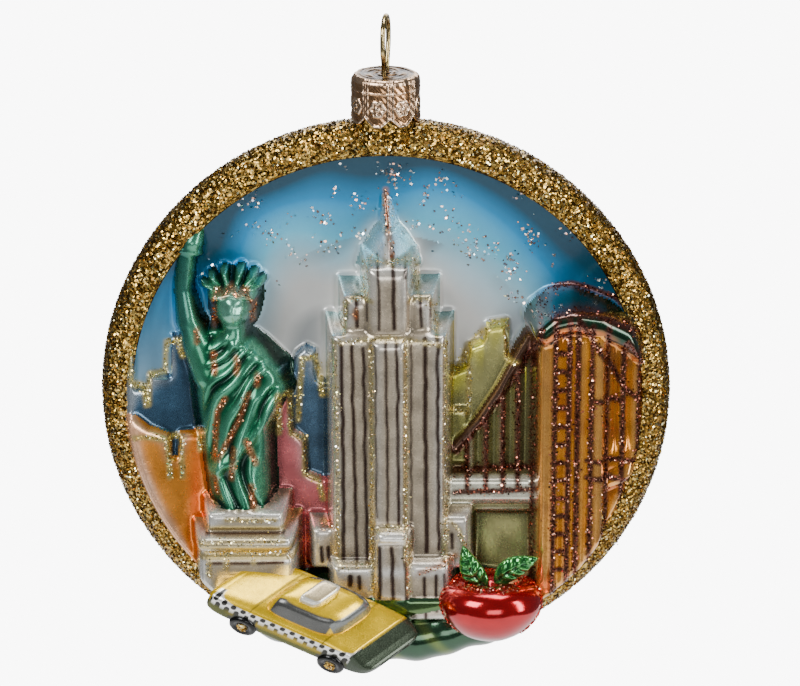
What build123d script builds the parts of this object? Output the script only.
"""Blown-glass city souvenir ornament: a dished hollow disc with figures, a stamped cap and a wire hanger.

Millimetres. +Z is up and the scene faces -Y. The origin is the point of the wire loop that a hook bears on.
Figures are laid out from the disc's centre: x to the right, height upwards and depth forwards.
"""

import os
from copy import deepcopy
from math import atan2, cos, degrees, radians, sin

from build123d import *

# ---- wire hanger and cap ----
wire_diameter = 0.8
loop_half_width = 3.1  # to the middle of the wire
loop_rise = 9.4  # from the cap's top to the outside of the loop
loop_turned = 82.0  # degrees from the disc's plane to the loop's plane
strand_half_gap = 1.6
strand_clearance = 0.2
leg_drop = 10.0  # how far the spring legs reach below the cap's top
leg_clearance = 0.12
strand_foot, strand_top = -1.5, 1.2  # where the strands run upright, from the cap's top
strand_bend = 2.0
loop_straight = 1.7
cap_radius = 5.4
cap_height = 7.5
cap_sheet = 0.3
cap_shoulder = 0.9
cap_panels = 8
cap_turned = -14.0
cap_notch = (1.5, 1.3)  # half width, height
cap_rib = (0.45, 5.2)  # width, height
cap_boss = (1.35, 3.0)  # radius, height above the cap's foot
cap_relief = 0.18

# ---- blown body ----
disc_radius = 45.0
ridge_front = 3.5  # how far the rim stands in front of the mid plane
ridge_round = 0.9
sky_back = 1.5  # how far the middle of the sky lies behind the mid plane
sky_flat_radius = 24.0
back_depth = 17.0
edge_radius = 9.0  # of the back's turn at the disc's outline
glass_wall = 1.2
figure_wall = 1.0
figure_margin = 0.6  # how far inside the disc's outline the figures end
neck_clearance = 0.3
neck_wall = 0.9
neck_root = (5.3, 3.5)  # radius, height below the disc's top
glitter_skin = 0.35
glitter_inner_radius = 42.3
seam_angle = 62.0  # where the revolved body closes, in the empty sky
seat_gap = 0.2  # between pieces that stand clear of each other

# ---- where pieces stand ----
cap_top = wire_diameter - loop_rise
cap_foot = cap_top - cap_height
disc_z = cap_foot - seat_gap - disc_radius
ridge_radius = disc_radius - ridge_front
dome_reach = (disc_radius - edge_radius) ** 2 + back_depth**2 - edge_radius**2
dome_radius = dome_reach / (2 * (back_depth - edge_radius))
neck_radius = cap_radius - cap_sheet - neck_clearance
neck_bore = neck_radius - neck_wall
neck_top = cap_top - cap_sheet - seat_gap
root_foot = disc_z + disc_radius - neck_root[1]
strand_hole = strand_half_gap + wire_diameter / 2 + strand_clearance
leg_half_spread = neck_bore - wire_diameter / 2 - leg_clearance
front = Plane(origin=(0, 0, disc_z), x_dir=(1, 0, 0), z_dir=(0, -1, 0))
buried = -3.0  # depth at which figures start, behind the sky

# ---- blocks: centre x, half width, foot, top, front ----
tower_tiers = [
    (0.8, 9.6, -32.2, -25.3, 10.5),
    (-9.8, 2.2, -27.0, -20.6, 7.0),
    (11.3, 2.2, -27.0, -18.4, 7.0),
    (0.4, 9.0, -26.5, 12.5, 8.0),
    (0.3, 7.2, 12.0, 20.4, 7.0),
    (0.4, 3.1, 12.0, 24.7, 8.0),
]
tower_canopy = (1.1, 2.6, -22.8, -20.8, 10.0)
tower_groove = (0.7, 1.0)  # width, depth
tower_groove_xs = (-2.5, 3.3)
tower_groove_span = (-20.0, 12.5)
bell_place = (0.4, 24.7, 4.2)
bell_profile = [(0, 4.6), (1.9, 2.6), (3.0, -0.4), (1.5, -0.8), (0, -0.9)]
spire_radius = 0.5
spire_ends = [(0.4, 28.6, 3.0), (0.4, 38.4, 2.6)]
pedestal_tiers = [
    (-22.8, 6.3, -20.6, -17.4, 9.5),
    (-22.4, 7.6, -23.4, -20.2, 11.5),
    (-22.2, 7.2, -34.0, -22.6, 10.8),
]
pylon_tiers = [(29.3, 5.2, -34.0, 16.6, 9.5)]
pylon_rib = (1.5, 0.8)  # width, relief

# ---- statue ----
robe_depth = 3.6
robe_sections = [  # height, centre x, half width, half depth
    (-17.4, -24.1, 4.7, 4.2),
    (-7.0, -23.8, 5.3, 4.6),
    (1.5, -23.8, 6.1, 4.8),
    (7.4, -23.7, 6.2, 4.4),
    (11.6, -24.4, 2.2, 2.6),
]
head_place = (-24.6, 14.8, 5.4)
head_profile = [(0, 3.9), (2.0, 2.8), (2.9, 0.2), (2.2, -2.4), (0, -3.9)]
ray_angles = (25, 57, 90, 123, 155)
ray_length, ray_width, ray_depth = 6.0, 1.3, 1.8
arm_points = [(-27.4, 7.0, 4.0), (-30.4, 13.0, 4.4), (-31.0, 23.4, 5.2)]
arm_bend = 8.0
arm_radius = 1.7
torch_profile = [(0, 5.4), (1.4, 4.0), (1.9, 2.2), (1.3, 0.2), (0, -0.8)]

# ---- bridge ----
cornice_line = [(24.4, 14.0), (28.0, 17.6), (33.6, 17.8), (39.6, 13.4)]
cornice_thick, cornice_front = 3.0, 10.6
deck_tiers = [(17.4, 7.4, -17.6, -12.6, 5.4)]
cable_line = [(10.0, -9.6), (17.6, -3.6), (25.0, 12.4)]
cable_thick, cable_front = 1.6, 5.0
rod_xs = (12.6, 15.2, 17.8, 20.4, 22.8)
rod_width, rod_front = 1.0, 3.8
right_span = [(33.0, 15.0), (39.0, 13.0), (41.4, 4.0), (42.0, -6.0), (41.0, -13.0), (33.0, -13.0)]
right_span_front = 7.6
right_piers = [(33.0, -13.0), (40.6, -13.0), (38.8, -20.0), (35.6, -26.4), (33.0, -29.0)]
right_piers_front = 6.6

# ---- skyline: depth, floor, then left edge, right edge and roof of each step ----
skylines = {
    "skyline_left_near": (
        5.0,
        -33.0,
        [(-39.2, -37.2, -5.6), (-37.2, -35.4, -9.6), (-35.4, -32.6, -6.0), (-32.6, -27.0, -9.0)],
    ),
    "skyline_left_far": (
        3.2,
        -10.0,
        [(-40.0, -38.2, 8.2), (-38.2, -35.6, -3.0), (-35.6, -32.4, 2.8), (-32.4, -28.0, 8.6)],
    ),
    "skyline_middle_near": (3.6, -29.0, [(-19.5, -15.6, -1.0), (-15.6, -12.6, -7.6), (-12.6, -8.0, -16.4)]),
    "skyline_middle_far": (2.2, -20.0, [(-17.8, -13.4, 1.2), (-13.4, -10.4, 7.6), (-10.4, -8.0, 3.4)]),
    "skyline_right": (
        2.8,
        -31.0,
        [(9.0, 12.6, 0.4), (12.6, 14.8, 6.0), (14.8, 19.4, 10.8), (19.4, 25.0, 3.0)],
    ),
}

# ---- taxi, on a sloping plane of its own: x along the car, y across it, z up ----
taxi_plane = Plane(
    origin=(-12.0, -11.5, disc_z - 35.0), x_dir=(0.918, -0.142, -0.372), z_dir=(0.218, -0.602, 0.768)
)
taxi_skew = 0.53  # how far the car leans back along its length for each unit across it
taxi_length, taxi_width, taxi_height = 27.0, 11.5, 5.2
body_round, cabin_round, sign_round = 1.6, 1.0, 0.4
body_draw_in, sign_draw_in = 0.4, 0.3
cabin_length, cabin_width, cabin_height = 11.5, 8.6, 3.4
cabin_x, cabin_draw_in = -0.5, 1.4
sign_length, sign_width, sign_height = 3.4, 5.0, 1.5
wheel_radius, wheel_width, wheel_half_base, wheel_rise = 2.3, 1.4, 7.6, 0.6

# ---- fruit and ground ----
fruit_place = (16.8, -33.6, 9.0)
fruit_profile = [(0, 3.4), (1.6, 4.3), (4.0, 4.9), (8.3, 0.6), (0, -5.4)]
leaf_places = [(14.0, -26.0, 118.0), (21.0, -26.4, 32.0)]  # centre x, height, lean
leaf_length, leaf_width, leaf_front = 8.0, 3.4, 8.6
ground_top, ground_half_width = -32.2, 27.0
ground_front, ground_lip = 10.2, 36.0


def at(x, height, depth):
    """Point in the ornament's frame of a place in the front layout."""
    return (x, -depth, disc_z + height)


def body_form(inset):
    """Solid disc body, every face moved inwards by inset."""
    rise = dome_radius - back_depth
    join = degrees(atan2(rise, disc_radius - edge_radius))
    lip = (ridge_radius, inset - ridge_front)
    with BuildPart() as form:
        with BuildSketch() as profile:
            with BuildLine():
                flat = Line((0, sky_back + inset), (sky_flat_radius, sky_back + inset))
                TangentArc(flat @ 1, lip, tangent=(1, 0))
                CenterArc((ridge_radius, 0), ridge_front - inset, 270, 90)
                CenterArc((disc_radius - edge_radius, 0), edge_radius - inset, 0, join)
                dome = CenterArc((0, -rise), dome_radius - inset, join, 90 - join)
                Line(dome @ 1, flat @ 0)
            make_face()
            if inset == 0:
                fillet(profile.vertices().sort_by(Axis.Y)[0], ridge_round)
        revolve(axis=Axis.Y)
    return form.part.moved(Location((0, 0, disc_z), (0, -seam_angle, 0)))


def raise_front(depth):
    """Extrude the open sketch from behind the sky to a depth."""
    extrude(amount=depth - buried)


def keep_within_rim(inset=0.0):
    """Trim the open part to a cylinder just inside the disc's outline."""
    with Locations(Location((0, 0, disc_z), (90, 0, 0))):
        Cylinder(disc_radius - figure_margin - inset, 4 * back_depth, mode=Mode.INTERSECT)


def tiers_form(tiers, inset=0.0):
    """Stack of square-cut blocks, each drawn in by inset at its sides, top, foot and front."""
    with BuildPart() as form:
        for centre, half_width, foot, top, depth in tiers:
            with BuildSketch(front.offset(buried)):
                with Locations((centre, (foot + top) / 2)):
                    Rectangle(2 * (half_width - inset), top - foot - 2 * inset)
            raise_front(depth - inset)
        keep_within_rim(inset)
    return form.part


def panel_form(outline, depth):
    """Flat panel with a given outline, from behind the sky to a depth."""
    with BuildPart() as form:
        with BuildSketch(front.offset(buried)):
            with BuildLine():
                Polyline(*outline, close=True)
            make_face()
        raise_front(depth)
        keep_within_rim()
    return form.part


def band_form(line, thickness, depth):
    """Curved band of even height that follows a line of points."""
    with BuildPart() as form:
        with BuildSketch(front.offset(buried)):
            with BuildLine():
                upper = Spline(*[(x, z + thickness / 2) for x, z in line])
                lower = Spline(*[(x, z - thickness / 2) for x, z in line])
                Line(upper @ 0, lower @ 0)
                Line(upper @ 1, lower @ 1)
            make_face()
        raise_front(depth)
        keep_within_rim()
    return form.part


def turned_form(place, profile):
    """Figure turned about an upright axis; its side is arcs, each through three of the points."""
    with BuildPart() as form:
        with BuildSketch(Plane(origin=at(*place), x_dir=(1, 0, 0), z_dir=(0, -1, 0))):
            with BuildLine():
                for start in range(0, len(profile) - 2, 2):
                    ThreePointArc(*profile[start : start + 3])
                Line(profile[-1], profile[0])
            make_face()
        revolve(axis=Axis(at(*place), (0, 0, 1)))
    return form.part


def skyline_form(depth, floor, steps):
    """Row of buildings with stepped roofs."""
    outline = [(steps[0][0], floor)]
    for left, right, roof in steps:
        outline += [(left, roof), (right, roof)]
    outline.append((steps[-1][1], floor))
    return panel_form(outline, depth)


def robe_form(inset=0.0):
    """Draped figure, lofted through upright sections."""
    with BuildPart() as form:
        for height, x, half_width, half_depth in robe_sections:
            with BuildSketch(Plane.XY.offset(disc_z + height)):
                with Locations((x, -robe_depth)):
                    Ellipse(half_width - inset, half_depth - inset)
        loft()
    return form.part


def statue_form():
    """Robe, head and rayed crown."""
    x, height, depth = head_place
    with BuildPart() as form:
        add(robe_form())
        add(turned_form(head_place, head_profile))
        for angle in ray_angles:
            reach = (ray_length / 2 * cos(radians(angle)), ray_length / 2 * sin(radians(angle)))
            with BuildSketch(front.offset(depth - ray_depth)):
                with Locations(Location((x + reach[0], height + reach[1]), angle)):
                    Rectangle(ray_length, ray_width)
            extrude(amount=ray_depth)
    return form.part


def torch_form():
    """Raised arm and its torch."""
    x, height, depth = arm_points[-1]
    with BuildPart() as form:
        with BuildLine() as bone:
            FilletPolyline(*[at(*point) for point in arm_points], radius=arm_bend)
        with BuildSketch(Plane(origin=bone.line @ 0, z_dir=bone.line % 0)):
            Circle(arm_radius)
        sweep()
        add(turned_form((x, height, depth), torch_profile))
    return form.part


def tower_form():
    """Stepped skyscraper with a canopy, a bell-shaped crown and two grooves up its face."""
    foot, top = tower_groove_span
    width, depth = tower_groove
    with BuildPart() as form:
        add(tiers_form(tower_tiers))
        add(tiers_form([tower_canopy]))
        add(turned_form(bell_place, bell_profile))
        with BuildSketch(front.offset(tower_tiers[3][4] - depth)):
            with Locations(*[(x, (foot + top) / 2) for x in tower_groove_xs]):
                Rectangle(width, top - foot)
        extrude(amount=depth, mode=Mode.SUBTRACT)
    return form.part


def spire_form():
    """Thin mast that lies up the sky above the crown."""
    foot, tip = [at(*end) for end in spire_ends]
    with BuildPart() as form:
        with BuildLine() as mast:
            Line(foot, tip)
        with BuildSketch(Plane(origin=foot, z_dir=mast.line % 0)):
            Circle(spire_radius)
        sweep()
    return form.part


def pylon_form():
    """Bridge pylon with three upright ribs."""
    centre, half_width, foot, top, depth = pylon_tiers[0]
    width, relief = pylon_rib
    with BuildPart() as form:
        add(tiers_form(pylon_tiers))
        with BuildSketch(front.offset(depth)):
            with Locations((centre, (foot + top) / 2)):
                with GridLocations(half_width - width / 2, 0, 3, 1):
                    Rectangle(width, top - foot)
        extrude(amount=relief)
    return form.part


def left_span_form():
    """Deck, main cable and upright rods between the tower and the pylon."""
    deck_top = deck_tiers[0][3]
    with BuildPart() as form:
        add(tiers_form(deck_tiers))
        add(band_form(cable_line, cable_thick, cable_front))
        with BuildLine(mode=Mode.PRIVATE) as sag:
            Spline(*cable_line)
        for x in rod_xs:
            share = (x - cable_line[0][0]) / (cable_line[-1][0] - cable_line[0][0])
            top = (sag.line @ share).Y
            with BuildSketch(front.offset(buried)):
                with Locations((x, (deck_top + top) / 2)):
                    Rectangle(rod_width, abs(top - deck_top) + cable_thick)
            raise_front(rod_front)
    return form.part


def skewed_outline(centre_x, length, width):
    """Corners of a car-shaped parallelogram on the taxi's plane."""
    lean = taxi_skew * width / 2
    corners = [(-1, -1), (1, -1), (1, 1), (-1, 1)]
    return [(centre_x + side * length / 2 + end * lean, end * width / 2) for side, end in corners]


def car_form(foot, height, centre_x, length, width, rounding, draw_in=0.0):
    """Rounded block on the taxi's plane, drawn in on all sides towards its top."""
    with BuildPart() as form:
        for rise, shrink in ((0, 0), (height, 2 * draw_in)):
            with BuildSketch(taxi_plane.offset(foot + rise)) as outline:
                with BuildLine():
                    Polyline(*skewed_outline(centre_x, length - shrink, width - shrink), close=True)
                make_face()
                fillet(outline.vertices(), rounding)
        loft(ruled=True)
    return form.part


def wheels_form():
    """Two wheels on the side of the car that faces outwards."""
    with BuildPart() as form:
        for side in (-1, 1):
            across = -taxi_width / 2
            along = side * wheel_half_base + taxi_skew * across
            hub = taxi_plane.from_local_coords((along, across, wheel_rise))
            with BuildSketch(Plane(origin=hub, z_dir=-taxi_plane.y_dir)):
                Circle(wheel_radius)
            extrude(amount=wheel_width / 2, both=True)
    return form.part


def leaves_form():
    """Two pointed leaves, each the overlap of two circles."""
    bow = (leaf_length**2 + leaf_width**2) / (4 * leaf_width)
    with BuildPart() as form:
        for x, height, lean in leaf_places:
            with BuildSketch(front.offset(buried)):
                with Locations(Location((x, height), lean)):
                    with Locations((0, bow - leaf_width / 2)):
                        Circle(bow)
                    with Locations((0, leaf_width / 2 - bow)):
                        Circle(bow, mode=Mode.INTERSECT)
            raise_front(leaf_front)
    return form.part


def ground_form(inset=0.0):
    """Bank of ground along the foot of the disc, sloping back to the rim."""
    with BuildPart() as form:
        with BuildSketch():
            with BuildLine():
                Polyline(
                    (0, -buried),
                    (disc_radius - 2 - inset, -buried),
                    (disc_radius - 0.3 - inset, -1.0),
                    (ground_lip - inset, -ground_front + inset),
                    (0, -ground_front + inset),
                    close=True,
                )
            make_face()
        revolve(axis=Axis.Y)
        with Locations((0, 0, ground_top - inset - disc_radius / 2)):
            Box(2 * (ground_half_width - inset), 3 * ground_front, disc_radius, mode=Mode.INTERSECT)
    return form.part.moved(Location((0, 0, disc_z)))


def cut(*forms):
    """Cut copies of the forms from the open part, so that the forms stay as they are for the next piece."""
    for form in forms:
        add(deepcopy(form), mode=Mode.SUBTRACT)


def write(piece, name):
    """Label one finished piece and write its STEP file."""
    piece.part.label = name
    export_step(piece.part, f"parts/{name}.step")


os.makedirs("parts", exist_ok=True)

# ---- figures, nearest first: outside form, then the hollow inside it ----
taxi_body = (0, taxi_height, 0, taxi_length, taxi_width, body_round, body_draw_in)
taxi_cabin = (taxi_height, cabin_height, cabin_x, cabin_length, cabin_width, cabin_round, cabin_draw_in)
sign_foot = taxi_height + cabin_height
taxi_sign = (sign_foot, sign_height, cabin_x, sign_length, sign_width, sign_round, sign_draw_in)
figures = {
    "taxi_wheels": (wheels_form(), None),
    "taxi_roof_sign": (car_form(*taxi_sign), None),
    "taxi_cabin": (car_form(*taxi_cabin), None),
    "taxi_body": (
        car_form(*taxi_body),
        car_form(
            figure_wall,
            taxi_height - 2 * figure_wall,
            0,
            taxi_length - 2 * figure_wall,
            taxi_width - 2 * figure_wall,
            cabin_round,
            body_draw_in,
        ),
    ),
    "red_fruit": (turned_form(fruit_place, fruit_profile), None),
    "fruit_leaves": (leaves_form(), None),
    "tower": (tower_form(), tiers_form(tower_tiers, 2 * figure_wall)),
    "tower_spire": (spire_form(), None),
    "pedestal": (tiers_form(pedestal_tiers), tiers_form(pedestal_tiers, figure_wall)),
    "statue_torch": (torch_form(), None),
    "statue": (statue_form(), robe_form(figure_wall)),
    "pylon_cornice": (band_form(cornice_line, cornice_thick, cornice_front), None),
    "bridge_pylon": (pylon_form(), tiers_form(pylon_tiers, figure_wall)),
}
for name, (depth, floor, steps) in skylines.items():
    figures[name] = (skyline_form(depth, floor, steps), None)
figures["left_span"] = (left_span_form(), None)
figures["right_span"] = (panel_form(right_span, right_span_front), None)
figures["right_piers"] = (panel_form(right_piers, right_piers_front), None)
figures["ground"] = (ground_form(), ground_form(figure_wall))

disc = body_form(0)
nearer = []
for name, (outside, hollow) in figures.items():
    with BuildPart() as figure:
        add(deepcopy(outside))
        if hollow:
            cut(hollow)
        cut(disc, *nearer)
    write(figure, name)
    nearer.append(outside)

# ---- blown shell, its neck and the glitter on its rim ----
with BuildPart() as neck_form:
    with Locations((0, 0, root_foot)):
        Cone(
            neck_root[0], neck_radius, neck_root[1], align=(Align.CENTER, Align.CENTER, Align.MIN)
        )
        Cylinder(neck_radius, neck_top - root_foot, align=(Align.CENTER, Align.CENTER, Align.MIN))

with BuildPart() as bore_form:
    with Locations((0, 0, root_foot + neck_wall)):
        Cylinder(neck_bore, cap_top - root_foot, align=(Align.CENTER, Align.CENTER, Align.MIN))

with BuildPart() as glass_neck:
    add(deepcopy(neck_form.part))
    cut(bore_form.part, disc)
write(glass_neck, "glass_neck")

with BuildPart() as glass_shell:
    add(deepcopy(disc))
    cut(body_form(glass_wall), bore_form.part)
write(glass_shell, "glass_shell")

with BuildPart() as rim_glitter:
    add(body_form(-glitter_skin))
    with Locations(Location((0, 0, disc_z), (90, 0, 0))):
        Cylinder(glitter_inner_radius, 4 * back_depth, mode=Mode.SUBTRACT)
    cut(disc, neck_form.part, *nearer)
write(rim_glitter, "rim_glitter")

# ---- stamped cap ----
with BuildPart() as crown_cap:
    with Locations((0, 0, cap_foot)):
        Cylinder(cap_radius, cap_height, align=(Align.CENTER, Align.CENTER, Align.MIN))
    fillet(crown_cap.edges().group_by(Axis.Z)[-1], cap_shoulder)
    offset(amount=-cap_sheet, openings=crown_cap.faces().sort_by(Axis.Z)[0])
    with Locations((0, 0, cap_top)):
        Hole(strand_hole, depth=2 * cap_sheet)
    for panel in range(cap_panels):
        middle = radians(cap_turned - 90 + panel * 360 / cap_panels)
        border = middle + radians(180 / cap_panels)
        outward = (cos(border), sin(border), 0)
        flat = Plane(origin=(0, 0, cap_foot), x_dir=(-sin(border), cos(border), 0), z_dir=outward)
        with BuildSketch(flat):
            with BuildLine():
                Polyline((-cap_notch[0], 0), (cap_notch[0], 0), (0, cap_notch[1]), close=True)
            make_face()
        extrude(amount=2 * cap_radius, mode=Mode.SUBTRACT)
        with BuildSketch(flat.offset(cap_radius - cap_sheet / 2)):
            with Locations((0, cap_notch[1])):
                Rectangle(cap_rib[0], cap_rib[1], align=(Align.CENTER, Align.MIN))
        extrude(amount=cap_sheet / 2 + cap_relief)
        facing = (cos(middle), sin(middle), 0)
        face = Plane(origin=(0, 0, cap_foot), x_dir=(-sin(middle), cos(middle), 0), z_dir=facing)
        with BuildSketch(face.offset(cap_radius - cap_sheet / 2)):
            with Locations((0, cap_boss[1])):
                RegularPolygon(cap_boss[0], 6, rotation=30)
        extrude(amount=cap_sheet / 2 + cap_relief)
write(crown_cap, "crown_cap")

# ---- wire hanger: spring legs, strands through the cap, and the loop ----
loop_turn = radians(loop_turned)
loop_facing = (sin(loop_turn), -cos(loop_turn), 0)
loop_plane = Plane(origin=(0, 0, cap_top), x_dir=(cos(loop_turn), sin(loop_turn), 0), z_dir=loop_facing)
loop_centre = loop_rise - wire_diameter / 2 - loop_half_width
strand = [
    (leg_half_spread, -leg_drop),
    (strand_half_gap, strand_foot),
    (strand_half_gap, strand_top),
    (loop_half_width, loop_centre - loop_straight),
    (loop_half_width, loop_centre),
]
with BuildPart() as wire_hanger:
    with BuildLine(loop_plane) as wire:
        FilletPolyline(*[(-x, z) for x, z in strand], radius=strand_bend)
        FilletPolyline(*strand, radius=strand_bend)
        CenterArc((0, loop_centre), loop_half_width, 0, 180)
    run = wire.wires()[0]
    with BuildSketch(Plane(origin=run @ 0, z_dir=run % 0)):
        Circle(wire_diameter / 2)
    sweep(path=run)
write(wire_hanger, "wire_hanger")
